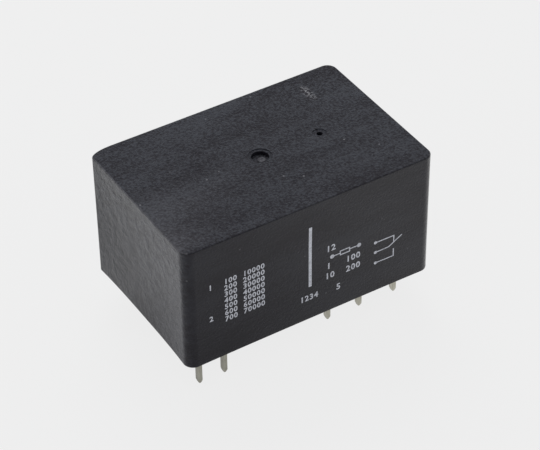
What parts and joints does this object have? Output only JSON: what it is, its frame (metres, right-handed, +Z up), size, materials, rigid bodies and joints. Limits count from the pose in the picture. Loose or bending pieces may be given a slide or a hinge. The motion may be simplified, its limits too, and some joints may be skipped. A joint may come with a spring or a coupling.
{
  "type": "pcb power relay",
  "caption": "Boxy black power relay for a circuit board: sealed moulded cover over a coil, a rocking armature and changeover contacts, with solder pins below.",
  "frame": {"origin": "middle of the body's footprint, on the face that meets the board (the cover's rim)", "axes": "+X along the body towards the contact end, +Y towards the row of contact pins behind the coil pins' side, +Z up out of the board"},
  "size_m": [0.0522, 0.0342, 0.0327],
  "materials": {
    "cover_plastic": "moulded, fine matt grain, almost black",
    "base_plastic": "moulded, matt black",
    "resin": "poured sealing resin, dark and shiny",
    "plated_steel": "zinc plated soft steel",
    "soft_iron": "turned soft iron",
    "bobbin_plastic": "moulded, pale natural plastic",
    "magnet_wire": "enamelled copper wire",
    "tape": "polyester film tape",
    "tinned_copper": "copper alloy, dull tin plate",
    "contact_silver": "silver alloy",
    "carrier_plastic": "moulded, dark grey",
    "spring_copper": "rolled copper alloy",
    "spring_steel": "bright spring wire",
    "copper_braid": "braided copper"
  },
  "bodies": {
    "frame": {"cover": "cover_plastic", "base": "base_plastic", "epoxy_seal": "resin", "yoke": "plated_steel", "core": "soft_iron", "bobbin": "bobbin_plastic", "coil_winding": "magnet_wire", "coil_tape": "tape", "coil_lead_start": "magnet_wire", "coil_lead_finish": "magnet_wire", "coil_pin_start": "tinned_copper", "coil_pin_finish": "tinned_copper", "front_common_terminal": "tinned_copper", "front_no_terminal": "tinned_copper", "front_nc_terminal": "tinned_copper", "back_common_terminal": "tinned_copper", "back_no_terminal": "tinned_copper", "back_nc_terminal": "tinned_copper", "front_no_contact": "contact_silver", "front_nc_contact": "contact_silver", "back_no_contact": "contact_silver", "back_nc_contact": "contact_silver", "return_spring": "spring_steel", "front_pigtail": "copper_braid", "back_pigtail": "copper_braid"},
    "armature": {"armature": "plated_steel", "contact_carrier": "carrier_plastic", "front_blade": "spring_copper", "back_blade": "spring_copper", "front_moving_contact": "contact_silver", "back_moving_contact": "contact_silver"}
  },
  "joints": [
    {"name": "armature_pivot", "type": "hinge", "parent": "frame", "child": "armature", "pos_m": [-0.0216, 0, 0.0186], "axis": [0, 1, 0], "range_deg": [0, 2.8], "stiffness_Nm_per_rad": 0.0051, "springref_deg": -71.62, "deforming": ["return_spring", "front_pigtail", "back_pigtail"]}
  ]
}
